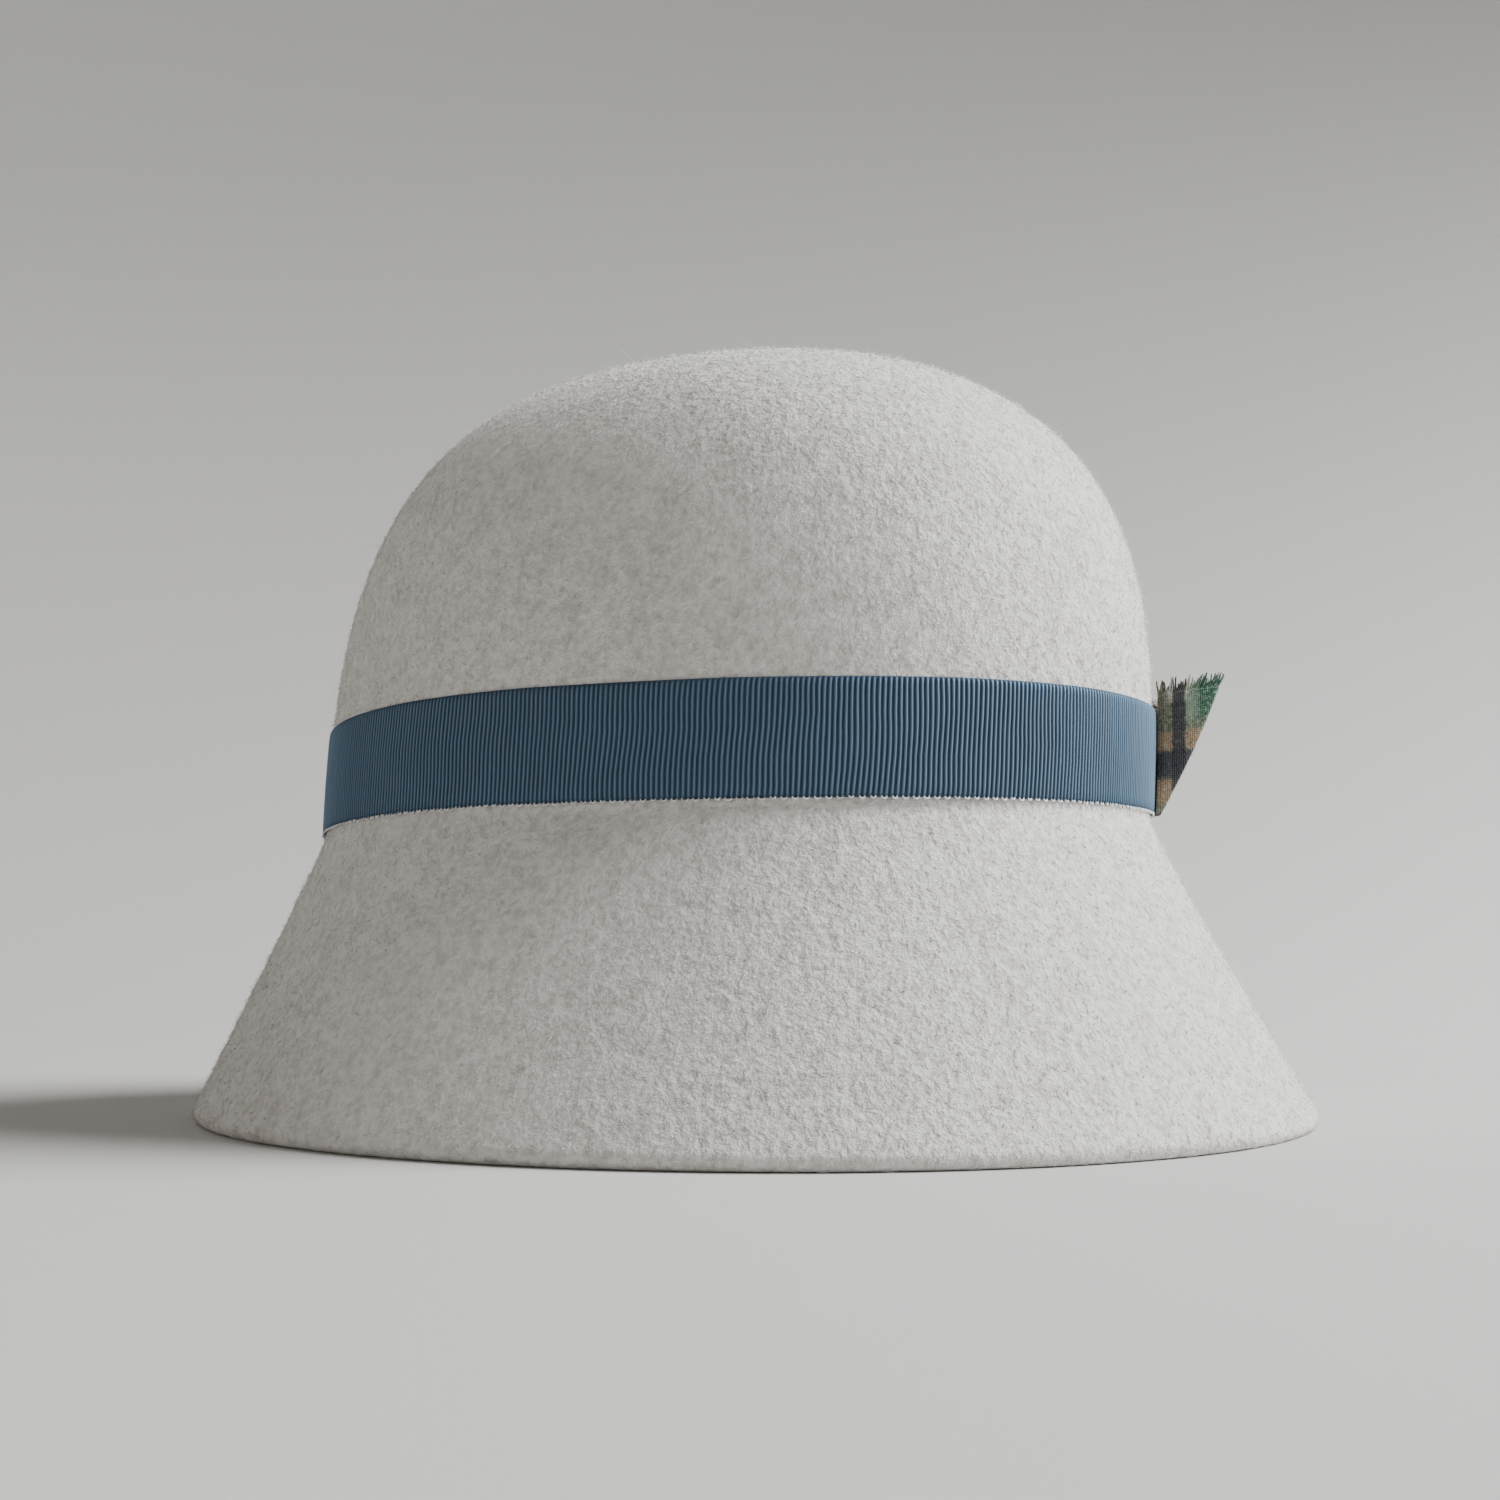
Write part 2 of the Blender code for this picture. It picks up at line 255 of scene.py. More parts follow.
def tubes(paths, radii, sides):
    """Closed tubes along many paths at once: paths (count, points, 3), radii (count, points)."""
    count, points = paths.shape[:2]
    along = unit(np.gradient(paths, axis=1))
    helper = np.where(np.abs(along[..., 2:3]) > STEEP, [[[1.0, 0, 0]]], [[[0, 0, 1.0]]])
    one = unit(np.cross(along, helper))
    two = np.cross(along, one)
    turn = (np.arange(sides) * (2 * math.pi / sides))[None, None, :, None]
    ring = one[:, :, None] * np.cos(turn) + two[:, :, None] * np.sin(turn)
    vertices = paths[:, :, None] + ring * radii[:, :, None, None]
    base = (np.arange(count) * points * sides)[:, None, None]
    row = base + (np.arange(points - 1) * sides)[None, :, None]
    side = np.arange(sides)[None, None, :]
    after = (side + 1) % sides
    quads = np.stack([row + side, row + after, row + sides + after, row + sides + side], -1)
    last = (points - 1) * sides
    ends = [np.stack([base[:, 0, 0] + start + k for k in order], 1)
            for start, order in ((0, range(sides - 1, -1, -1)), (last, range(sides)))]
    return vertices.reshape(-1, 3), [quads.reshape(-1, 4)] + ends


# ---- Materials ----
class Nodes:
    """A short way to write a material's node tree."""

    def __init__(self, name):
        self.material = bpy.data.materials.new(name)
        self.material.use_nodes = True
        self.tree = self.material.node_tree
        self.shader = self.tree.nodes["Principled BSDF"]

    def give(self, socket, value):
        """Links the socket to another node's output, or sets it."""
        if isinstance(value, bpy.types.NodeSocket):
            self.tree.links.new(value, socket)
        else:
            socket.default_value = value

    def add(self, kind, inputs=None, **settings):
        node = self.tree.nodes.new(kind)
        for key, value in settings.items():
            setattr(node, key, value)
        for key, value in (inputs or {}).items():
            self.give(node.inputs[key], value)
        return node

    def set(self, **values):
        for key, value in values.items():
            self.give(self.shader.inputs[key.replace("_", " ")], value)

    def place(self):
        return self.add("ShaderNodeTexCoord").outputs["Object"]

    def cloth_map(self):
        return self.add("ShaderNodeUVMap", uv_map="cloth").outputs["UV"]

    def noise(self, vector, scale, detail=2.0, roughness=0.5, distortion=0.0):
        node = self.add("ShaderNodeTexNoise", {"Vector": vector, "Scale": scale, "Detail": detail,
                                               "Roughness": roughness, "Distortion": distortion})
        return node.outputs["Fac"]

    def ramp(self, value, stops):
        node = self.add("ShaderNodeValToRGB", {"Fac": value})
        ramp = node.color_ramp
        while len(ramp.elements) < len(stops):
            ramp.elements.new(0.5)
        for element, (position, colour) in zip(ramp.elements, stops):
            element.position = position
            element.color = (*colour, 1)
        return node.outputs["Color"]

    def mask(self, value, stops):
        """A ramp of levels that keeps its first and last one out to the ends."""
        stops = [(0.0, stops[0][1]), *stops, (1.0, stops[-1][1])]
        return self.ramp(value, [(position, (level,) * 3) for position, level in stops])

    def math(self, operation, a, b=0.0, c=0.0, clamp=False):
        node = self.add("ShaderNodeMath", {0: a, 1: b, 2: c}, operation=operation, use_clamp=clamp)
        return node.outputs[0]

    def vector_math(self, operation, inputs):
        return self.add("ShaderNodeVectorMath", inputs, operation=operation).outputs[0]

    def mix(self, factor, a, b):
        node = self.add("ShaderNodeMix", {"Factor": factor}, data_type="RGBA")
        for key, value in ((6, a), (7, b)):
            plain = not isinstance(value, bpy.types.NodeSocket)
            self.give(node.inputs[key], (*value, 1) if plain else value)
        return node.outputs[2]

    def bump(self, height, strength, distance, normal=None):
        inputs = {"Height": height, "Strength": strength, "Distance": distance}
        if normal is not None:
            inputs["Normal"] = normal
        return self.add("ShaderNodeBump", inputs).outputs["Normal"]


FELT_FLECKS = {"scale": 560, "detail": 3.0, "roughness": 0.55}
FELT_GRAIN = {"scale": 1900, "detail": 2.0, "roughness": 0.6}
FELT_BROAD = {"scale": 45, "detail": 3.0, "roughness": 0.55}
FELT_CLOUDS = {"scale": 210, "detail": 2.0, "roughness": 0.5}
FLECK_WEIGHT, GRAIN_WEIGHT, BROAD_WEIGHT, CLOUD_WEIGHT = 0.85, 0.25, 0.20, 0.40
FELT_SHIFT = -0.275  # brings the sum of the four back to the middle of the tones
FELT_TONES = (
    (0.30, (0.42, 0.400, 0.370)),
    (0.50, (0.55, 0.530, 0.500)),
    (0.68, (0.66, 0.642, 0.612)),
)
NAP_LOCKS = {"scale": 320, "detail": 2.0, "roughness": 0.6, "distortion": 1.0}
NAP_TONES = ((0.35, (0.50, 0.480, 0.450)), (0.65, (0.74, 0.720, 0.690)))


def felt_material():
    """Matted wool: soft pale flecks a millimetre or two across with darker hollows between them,
    a fine grain, and slow clouds over both."""
    n = Nodes("wool_felt")
    place = n.place()
    flecks = n.noise(place, **FELT_FLECKS)
    grain = n.noise(place, **FELT_GRAIN)
    broad = n.noise(place, **FELT_BROAD)
    clouds = n.noise(place, **FELT_CLOUDS)
    value = n.math("MULTIPLY_ADD", flecks, FLECK_WEIGHT, FELT_SHIFT)
    value = n.math("MULTIPLY_ADD", grain, GRAIN_WEIGHT, value)
    value = n.math("MULTIPLY_ADD", clouds, CLOUD_WEIGHT, value)
    value = n.math("MULTIPLY_ADD", broad, BROAD_WEIGHT, value, clamp=True)
    normal = n.bump(flecks, strength=1.0, distance=0.0008)
    normal = n.bump(grain, strength=0.7, distance=0.00025, normal=normal)
    n.set(Base_Color=n.ramp(value, FELT_TONES), Normal=normal, Roughness=0.97)
    n.set(Specular_IOR_Level=0.12, Sheen_Weight=0.25, Sheen_Roughness=0.6)
    n.set(Sheen_Tint=(1.0, 0.98, 0.95, 1))
    return n.material


def nap_material():
    n = Nodes("wool_nap")
    value = n.noise(n.place(), **NAP_LOCKS)
    n.set(Base_Color=n.ramp(value, NAP_TONES), Roughness=0.9)
    n.set(Specular_IOR_Level=0.2, Sheen_Weight=0.2)
    return n.material


felt_look = felt_material()
nap_look = nap_material()

# ---- The felt body ----
TUFT_SCALE, TUFT_HEIGHT = 330, 0.00015
TUFT_UPRIGHT = 0.8  # below 1, so tufts are a little taller than wide
LOCK_SCALE, LOCK_HEIGHT = 600, 0.00008
SLOW_SCALE, SLOW_HEIGHT = 20, 0.00030
RELIEF_FADE = 0.0015  # the relief grows from nothing over this height above the floor
RELIEF = {"outside": 1.0, "fold": 0.6, "hem": 0.5, "under hem": 0.2, "none": 0.0, "inside": 0.7}
UNDER_RIBBON = FIT * 0.5  # the most that the relief may rise where the ribbon covers it
RIBBON_MARGIN = 0.0006  # the crown counts as covered up to here above the ribbon
COVERED_DROP = 0.02  # and the brim down to this drop
SMALLEST_RING = 28
HALVE_BELOW = 0.52  # of the crown's half width: a ring inside this has half the points
FOLD_STEPS = 13
HEM_WAVES = ((0.0003, 7, 0.6), (0.0002, 17, 2.0))  # height, times round the hat, start
HEM_GAP_MORE, HEM_GAP_SIDE = 0.352, 0.3
# Rings of the turned-in felt: the share of its width, and how many walls in from the outer face.
HEM_FACE = ((0.25, 2.0), (0.5, 1.98), (0.72, 1.94), (0.9, 1.86), (0.975, 1.74))
HEM_CUT_EDGE = ((1.0, 1.55), (0.99, 1.34), (0.93, 1.20), (0.80, 1.13), (0.62, 1.07))
HEM_ROOT = (0.60, 1.03)
WALL_BEHIND_HEM = (0.75, 0.93, 1.06, 1.2)
INSIDE_START = 1.35  # hem widths above the edge, where the plain inside starts


def relief(points, amount):
    """Height of the matted tufts and of the felt's slow unevenness at these points, in metres."""
    out = np.empty(len(points))
    for i, p in enumerate(points):
        v = Vector(p)
        tuft = Vector((p[0], p[1], p[2] * TUFT_UPRIGHT))
        out[i] = (
            TUFT_HEIGHT * noise.noise(tuft * TUFT_SCALE)
            + LOCK_HEIGHT * noise.noise(v * LOCK_SCALE)
            + SLOW_HEIGHT * noise.noise(v * SLOW_SCALE)
        )
    return out * amount


def ring_on(surface, share, out=0.0):
    """What places a ring at this share of a surface, out metres outside it."""
    return lambda theta: on_surface(surface, theta, share, 0.0 * theta + out)


def ring_on_fold(angle):
    """What places a ring on the round edge: angle goes from its outer side to its inner one."""
    def place(theta):
        normal = outward(brim_outside, theta, 1.0)
        centre = brim_outside(theta, 1.0) - normal * FELT_WALL
        down = np.array([0, 0, -1.0])
        along = unit(down - normal * (normal @ down)[:, None])
        ray = normal * math.cos(angle) + along * math.sin(angle)
        points = centre + ray * FELT_WALL
        points[:, 2] = np.maximum(points[:, 2], 0.0)
        return points, ray
    return place


def ring_on_hem(share_of_hem, walls, loose=False):
    """What places a ring on the turned-in felt: share_of_hem is 0 at the fold and 1 at its cut
    edge. A loose ring stands off the wall a little more on the wearer's left."""
    def place(theta):
        ragged = sum(height * np.sin(theta * times + start) for height, times, start in HEM_WAVES)
        drop = 1 - (HEM_WIDTH + ragged) / crease_height(theta) * share_of_hem
        more = HEM_GAP_MORE * (1 + np.cos(theta - HEM_GAP_SIDE)) / 2 if loose else 0.0 * theta
        return on_surface(brim_outside, theta, drop, -(1 + (walls - 1) * (1 + more)) * FELT_WALL)
    return place


def points_in_ring(climb, full):
    """Rings near the crown's top have fewer points, halved as they shrink."""
    radius = crown_outside(0.0, climb)[0]
    count = full
    while count > SMALLEST_RING and radius < CROWN_WIDTH / 2 * HALVE_BELOW * (count / full):
        count //= 2
    return count


def felt_rings():
    """The felt's rings from the crown's top down its outside, round the hem and up its inside."""
    rings = []

    def add(count, place, where, covered=False):
        points, normals = place(ring_angles(count))
        height = relief(points, RELIEF[where])
        if covered:
            height = np.minimum(height, UNDER_RIBBON)
        height = height * np.clip(points[:, 2] / RELIEF_FADE, 0, 1)
        moved = points + normals * height[:, None]
        moved[:, 2] = np.maximum(moved[:, 2], 0.0)
        rings.append(moved)

    ribbon_top = climb_at(0.0, RIBBON_ABOVE_CREASE + RIBBON_WIDTH + RIBBON_MARGIN)
    for climb in even_shares(crown_outside, 0.0, 1.0, 0.0, OUTSIDE_ROW)[1:-1]:
        count = points_in_ring(climb, AROUND)
        add(count, ring_on(crown_outside, climb), "outside", covered=climb < ribbon_top)
    for drop in even_shares(brim_outside, 0.0, 0.0, 1.0, OUTSIDE_ROW):
        add(AROUND, ring_on(brim_outside, drop), "outside", covered=drop < COVERED_DROP)
    for angle in np.linspace(0, math.pi, FOLD_STEPS)[1:]:
        add(AROUND, ring_on_fold(angle), "fold")
    for share, walls in HEM_FACE:
        add(AROUND, ring_on_hem(share, walls), "hem")
    for share, walls in HEM_CUT_EDGE:
        add(AROUND, ring_on_hem(share, walls, loose=True), "under hem")
    add(AROUND, ring_on_hem(*HEM_ROOT), "none")
    for share in WALL_BEHIND_HEM:
        add(AROUND, ring_on_hem(share, 1.0), "under hem")
    start = 1 - INSIDE_START * HEM_WIDTH / BRIM_DEPTH_SIDE
    for drop in even_shares(brim_outside, 0.0, start, 0.0, INSIDE_ROW):
        add(AROUND // 2, ring_on(brim_outside, drop, -FELT_WALL), "inside")
    for climb in even_shares(crown_outside, 0.0, 0.0, 1.0, INSIDE_ROW)[1:-1]:
        count = points_in_ring(climb, AROUND // 2)
        add(count, ring_on(crown_outside, climb, -FELT_WALL), "inside")
    return rings


def build_felt():
    rings = felt_rings()
    starts = np.cumsum([0] + [len(ring) for ring in rings])
    index = [np.arange(start, end) for start, end in zip(starts, starts[1:])]
    top = np.array([0, CROWN_SET_BACK - CROWN_LEAN, BRIM_DEPTH_SIDE + CROWN_HEIGHT])
    middles = [top[None], (top - [0, 0, FELT_WALL])[None]]
    faces = []
    for one, two in zip(index, index[1:]):
        faces += bridge(one, two)
    first, last, total = index[0], index[-1], starts[-1]
    faces.append(np.stack([np.roll(first, -1), first, np.full(len(first), total)], 1))
    faces.append(np.stack([last, np.roll(last, -1), np.full(len(last), total + 1)], 1))
    quads = np.concatenate([f for f in faces if f.shape[1] == 4])
    triangles = np.concatenate([f for f in faces if f.shape[1] == 3])
    return make_mesh("felt_body_wool", np.concatenate(rings + middles),
                     [quads[:, ::-1], triangles[:, ::-1]], felt_look)


felt = build_felt()
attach(felt, "root")
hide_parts("felt_body")

# ---- The ribbon ----
RIB_PITCH = 0.00112
RIB_HEIGHT = 0.00044
RIB_PROFILE = np.array((0.0, 0.42, 0.82, 1.0, 0.82, 0.42))
RIB_SAMPLES = len(RIB_PROFILE)
RIBBON_CORE = 0.00040
RIBBON_MAP = 10  # units of the ribbon's map for each metre
# Rows of its outer face, (share of the width, fullness), and of its inner one.
RIBBON_ROWS = (
    (0.0, 0.25), (0.012, 0.72), (0.035, 0.95), (0.10, 1), (0.22, 1), (0.34, 1), (0.46, 1),
    (0.58, 1), (0.70, 1), (0.82, 1), (0.92, 1), (0.965, 0.95), (0.988, 0.72), (1.0, 0.25),
)
RIBBON_INNER_ROWS = (1.0, 0.5, 0.0)
INNER_CREST = 0.5
# How each unevenness changes from rib to rib and across the width, its layer of noise, its size.
RIBBON_WANDERS = {
    "drift": (0.055, 2.6, 0.0, 0.32),  # of the ribs, in pitches
    "loose": (0.31, 5.0, 4.0, 0.10),  # of single ribs, in pitches
    "uneven": (0.9, 3.0, 9.0, 0.16),  # of a rib's height, as a share of it
    "wave": (0.012, 1.2, 2.0, 0.00010),  # away from the felt
    "edge": (0.05, 1.0, 6.0, 0.00012),  # along the width
}
RIBBON_THREADS = (900.0, 160.0, 1.0)
RIBBON_STREAKS = {"scale": 1.0, "detail": 2.0, "roughness": 0.6}
RIBBON_SLOW = {"scale": 3.2, "detail": 2.0, "roughness": 0.5}
STREAK_WEIGHT, SLOW_WEIGHT, TONE_SHIFT = 0.30, 0.25, 0.22
RIBBON_TONES = (
    (0.30, (0.021, 0.036, 0.054)),
    (0.50, (0.046, 0.076, 0.112)),
    (0.72, (0.102, 0.161, 0.230)),
)
# Painted shade, near black, where the crest is low: in the grooves and at the ribbon's two edges.
GROOVE_PAINTED_SHADE = (0.001, 0.002, 0.004)
GROOVE_POWER = 3.6  # the higher, the more painted groove shade and the narrower the blue crests
RIBBON_ROUGHNESS = ((0.50, 0.95), (0.96, 0.44))  # dull in the grooves, glossy on the crests

LOOP_EVERY = 2  # ribs
LOOP_POINTS, LOOP_SIDES = 9, 5
LOOP_RADIUS = 0.00020
LOOP_HALF_WIDTH = 0.24  # of the way from one loop to the next
LOOP_START, LOOP_DROP = 0.00022, 0.00052
LOOP_OUT, LOOP_BULGE = 0.00055, 0.00022
LOOP_SPREAD, LOOP_LIMIT = 0.18, 1.5
LOOP_GRAIN = {"scale": 900, "detail": 2.0, "roughness": 0.6}
LOOP_TONES = ((0.35, (0.46, 0.48, 0.50)), (0.65, (0.80, 0.80, 0.81)))


def ribbon_point(theta, height, out):
    """Points at this height above the ribbon's lower edge, out metres off the crown."""
    climb = climb_at(theta, RIBBON_ABOVE_CREASE + height)
    return on_surface(crown_outside, theta, climb, out)[0]


def ribbon_angles():
    """Angles round the hat that lie evenly along the ribbon, a whole number of ribs in all."""
    fine = np.linspace(0, 2 * math.pi, GIRTH_POINTS)
    length = run_along(ribbon_point(fine, RIBBON_WIDTH / 2, 0 * fine + FIT))
    ribs = round(length[-1] / RIB_PITCH / LOOP_EVERY) * LOOP_EVERY
    count = ribs * RIB_SAMPLES
    return np.interp(np.arange(count) * length[-1] / count, length, fine), ribs, length[-1]


def wander(kind, rib, share):
    pace, across, layer, size = RIBBON_WANDERS[kind]
    return size * np.array([noise.noise(Vector((r * pace, share * across, layer))) for r in rib])


def build_ribbon():
    theta, ribs, length = ribbon_angles()
    count = len(theta)
    turn = theta[1] - theta[0]
    rib = np.arange(count) / RIB_SAMPLES
    profile = RIB_PROFILE[np.arange(count) % RIB_SAMPLES]
    rows, uv, crest = [], [], []

    def add(points, share, crests):
        rows.append(points)
        uv.append(np.stack([np.arange(count) / count * length,
                            np.full(count, share * RIBBON_WIDTH)], 1))
        crest.append(crests)

    for share, full in RIBBON_ROWS:
        aside = wander("drift", rib, share) + wander("loose", rib, share)
        height = RIB_HEIGHT * profile * (1 + wander("uneven", np.floor(rib), share))
        out = FIT + (RIBBON_CORE + height) * full + wander("wave", rib, share)
        across = share * RIBBON_WIDTH + wander("edge", rib, share)
        add(ribbon_point(theta + aside * RIB_SAMPLES * turn, across, out), share, profile * full)
    for share in RIBBON_INNER_ROWS:
        across, out = np.full(count, share * RIBBON_WIDTH), np.full(count, FIT)
        add(ribbon_point(theta, across, out), share, np.full(count, INNER_CREST))
    index = [np.arange(count) + i * count for i in range(len(rows))]
    faces = [bridge(one, two)[0] for one, two in zip(index, index[1:] + index[:1])]
    obj = make_mesh("ribbon_grosgrain", np.concatenate(rows), [np.concatenate(faces)], ribbon_look,
                    np.concatenate(uv) * RIBBON_MAP, {"crest": np.concatenate(crest)})
    return obj, theta, ribs


def build_loops(theta, ribs):
    """The ribbon's lower edge: its weft turns round in small loops, one for each pair of ribs."""
    starts = np.arange(0, ribs, LOOP_EVERY)
    middle = (starts + 0.5 * LOOP_EVERY) * RIB_SAMPLES
    angle = np.interp(middle, np.arange(len(theta) + 1), np.append(theta, 2 * math.pi))
    turn = 2 * math.pi / (ribs / LOOP_EVERY)
    sweep = np.linspace(0, math.pi, LOOP_POINTS)[None]
    size = 1 + LOOP_SPREAD * rng.standard_normal((len(angle), 1)).clip(-LOOP_LIMIT, LOOP_LIMIT)
    side = np.cos(sweep) * LOOP_HALF_WIDTH * turn * size
    drop = np.sin(sweep) * LOOP_DROP * size
    out = FIT + LOOP_OUT + LOOP_BULGE * np.sin(sweep) + 0 * side
    paths = ribbon_point(angle[:, None] + side, LOOP_START - drop, out)
    radii = np.full(paths.shape[:2], LOOP_RADIUS)
    vertices, faces = tubes(paths, radii, LOOP_SIDES)
    return make_mesh("ribbon_edge_loops", vertices, faces, loop_look)


def ribbon_material():
    """Rayon grosgrain: fine threads cross the ribs, the grooves are dull and painted near black
    as shade, and the ribs have a gloss of their own colour."""
    n = Nodes("ribbon_grosgrain")
    uv = n.cloth_map()
    crest = n.add("ShaderNodeAttribute", attribute_name="crest",
                  attribute_type="GEOMETRY").outputs["Fac"]
    threads = n.add("ShaderNodeMapping", {"Vector": uv, "Scale": RIBBON_THREADS}).outputs["Vector"]
    streaks = n.noise(threads, **RIBBON_STREAKS)
    tone = n.math("MULTIPLY_ADD", n.noise(uv, **RIBBON_SLOW), SLOW_WEIGHT, TONE_SHIFT)
    tone = n.math("MULTIPLY_ADD", streaks, STREAK_WEIGHT, tone)
    # The crest's power mixes the painted groove shade with the ribbon's own tones.
    ribs = n.math("POWER", crest, GROOVE_POWER)
    colour = n.mix(ribs, GROOVE_PAINTED_SHADE, n.ramp(tone, RIBBON_TONES))
    normal = n.bump(streaks, strength=0.25, distance=0.0001)
    n.set(Base_Color=colour, Normal=normal, Roughness=n.mask(crest, RIBBON_ROUGHNESS))
    n.set(IOR=1.88, Specular_IOR_Level=1.0, Sheen_Weight=0.03, Sheen_Roughness=0.32)
    n.set(Specular_Tint=(0.46, 0.71, 1.0, 1), Sheen_Tint=(0.52, 0.76, 1.0, 1))
    return n.material


def loop_material():
    n = Nodes("ribbon_loops")
    value = n.noise(n.place(), **LOOP_GRAIN)
    n.set(Base_Color=n.ramp(value, LOOP_TONES), Roughness=0.32)
    n.set(Specular_IOR_Level=0.6, Sheen_Weight=0.1)
    return n.material


ribbon_look, loop_look = ribbon_material(), loop_material()
ribbon, rib_angles, rib_count = build_ribbon()
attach(ribbon, "root")
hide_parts("ribbon_band")
loops = build_loops(rib_angles, rib_count)
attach(loops, "root")

# ---- The fan ----
CLOTH = 0.00075  # its thickness
CLOTH_SHARE = FAN_CLOTH_HEIGHT / (FAN_CLOTH_HEIGHT + FRINGE_LENGTH)
FAN_BORDER = FRONT + math.radians(FAN_ANGLE)
FAN_ROWS, PANEL_POINTS = 96, 22
PANEL_BOW = 0.00055
FOLD_SMOOTHINGS = 3
THIN_EDGE, THIN_EDGE_RUN = 0.25, 0.0016  # its cut sides thin down to this share, over this run
RAGGED_TOP, RAGGED_FROM = 0.0006, 0.9
RAGGED_PACE, RAGGED_LAYER = 0.45, 3.0
PLAID_MAP = 20  # units of the cloth's map for each metre

YARN_PITCH = 0.00052
YARN_JITTER, YARN_MISSING = 0.12, 0.06
YARN_POINTS, YARN_SIDES = 7, 5
YARN_ROOT = -0.25  # of its length, inside the cloth
YARN_RADIUS, YARN_TAPER = 0.00027, 0.35
YARN_THICKNESSES = (0.75, 1.15)
YARN_SHORT, YARN_MORE_IN_TUFT = 0.50, 0.42
YARN_RAGGED = (-0.14, 0.10)
YARN_REACHES = (0.3, 1.0)
TUFT_PITCH, TUFT_DRIFT, TUFT_DRIFT_PITCH = 0.0017, 1.1, 0.0047
LEAN_ACROSS, LEAN_OUT, LEAN_POWER = 0.00030, 0.00022, 1.6
CURL, CURL_TURNS = 0.00012, 5

OLIVE, BLACK, SAGE = (0.095, 0.094, 0.058), (0.011, 0.012, 0.018), (0.150, 0.215, 0.140)
GREEN, TAN, PALE = (0.008, 0.075, 0.036), (0.250, 0.155, 0.082), (0.34, 0.41, 0.33)
CREAM = (0.52, 0.50, 0.42)
# Where the colours lie, as shares of a repeat: out from the ribbon, and down from the fringe.
REPEAT_OUT, REPEAT_DOWN = 0.018, 0.034
PLAID_STRIPES = ((0.0, TAN), (0.05, OLIVE), (0.20, OLIVE), (0.34, OLIVE), (0.40, SAGE),
                 (0.46, SAGE), (0.58, GREEN), (1.0, GREEN))
DARK_STRIPE = ((0.19, 0), (0.21, 1), (0.36, 1), (0.38, 0))
CREAM_STRIPES = ((0.13, 0), (0.16, 1), (0.40, 1), (0.44, 0))
CREAM_DEPTH = ((0.13, 1), (0.20, 0))
OLIVE_DEPTH = ((0.27, 0), (0.36, 1))
TAN_BANDS = ((0.375, 0), (0.395, 1), (0.505, 1), (0.525, 0), (0.70, 0), (0.72, 1), (0.86, 1),
             (0.88, 0))
DARK_BANDS = ((0.50, 0), (0.535, 1), (0.68, 1), (0.715, 0), (0.93, 0), (0.96, 1))
OLIVE_MIX, TAN_MIX, DARK_BAND_MIX, CREAM_MIX, DARK_STRIPE_MIX = 0.75, 0.85, 0.88, 0.7, 0.92
WOBBLE_SCALE, WOBBLE_SIZE = 14.0, 0.028
PALE_FLECKS = {"scale": 60, "detail": 3.0, "roughness": 0.7}
PALE_GAIN, PALE_SHIFT, PALE_LESS_ON_DARK = 2.4, -1.12, -0.8
DEEP_FLECKS = {"scale": 26, "detail": 2.0, "roughness": 0.6}
DEEP_GAIN, DEEP_SHIFT, DEEP_MIX = -3.0, 1.35, 0.55
WEAVE = {"Scale": 31.0, "Distortion": 0.8, "Detail": 1.0}
# Painted shade between the woven yarns: the plaid goes toward black, less where the weave is high.
WEAVE_SHADE, WEAVE_MIX = 0.25, 0.25


def fan_seat(across, height, proud):
    """Points on the fan: across and height lie on the ribbon's face, and proud stands out of it."""
    across, height, proud = np.broadcast_arrays(across, height, proud)
    rise = RIBBON_ABOVE_CREASE + height
    border = np.full(rise.shape, FAN_BORDER)
    climb = climb_at(border, rise)
    step = crown_outside(border + STEP, climb) - crown_outside(border - STEP, climb)
    theta = border + across * 2 * STEP / np.linalg.norm(step, axis=-1)
    out = FIT + RIBBON_CORE + RIB_HEIGHT + proud
    return on_surface(crown_outside, theta, climb_at(theta, rise), out)[0]


def fan_height(share, proud):
    return (FAN_CLOTH_HEIGHT + FRINGE_LENGTH + FAN_TOP_RISE * proud / FAN_TOP_PROUD) * share


def fan_line(share):
    """The fan's folded line at this share of its height, with soft folds, as points (across,
    proud)."""
    width = FAN_FOOT_WIDTH + (FAN_TOP_WIDTH - FAN_FOOT_WIDTH) * share
    stand = FAN_FOOT_PROUD + (FAN_TOP_PROUD - FAN_FOOT_PROUD) * share
    folds = np.array([(f["across"] * width, CLOTH / 2 + f["proud"] * stand) for f in FAN_FOLDS])
    t = np.linspace(0, 1, PANEL_POINTS, endpoint=False)[:, None]
    line = np.concatenate([a + (b - a) * t for a, b in zip(folds, folds[1:])] + [folds[-1:]])
    bows = [np.sin(np.pi * t[:, 0]) * (1 if i % 2 else -1) for i in range(len(folds) - 1)]
    line[:, 0] += np.concatenate(bows + [[0]]) * PANEL_BOW * share
    for _ in range(FOLD_SMOOTHINGS):
        line[1:-1] = line[:-2] * 0.25 + line[1:-1] * 0.5 + line[2:] * 0.25
    return line


def fan_offsets(line):
    along = unit(np.gradient(line, axis=0))
    return np.stack([-along[:, 1], along[:, 0]], 1)


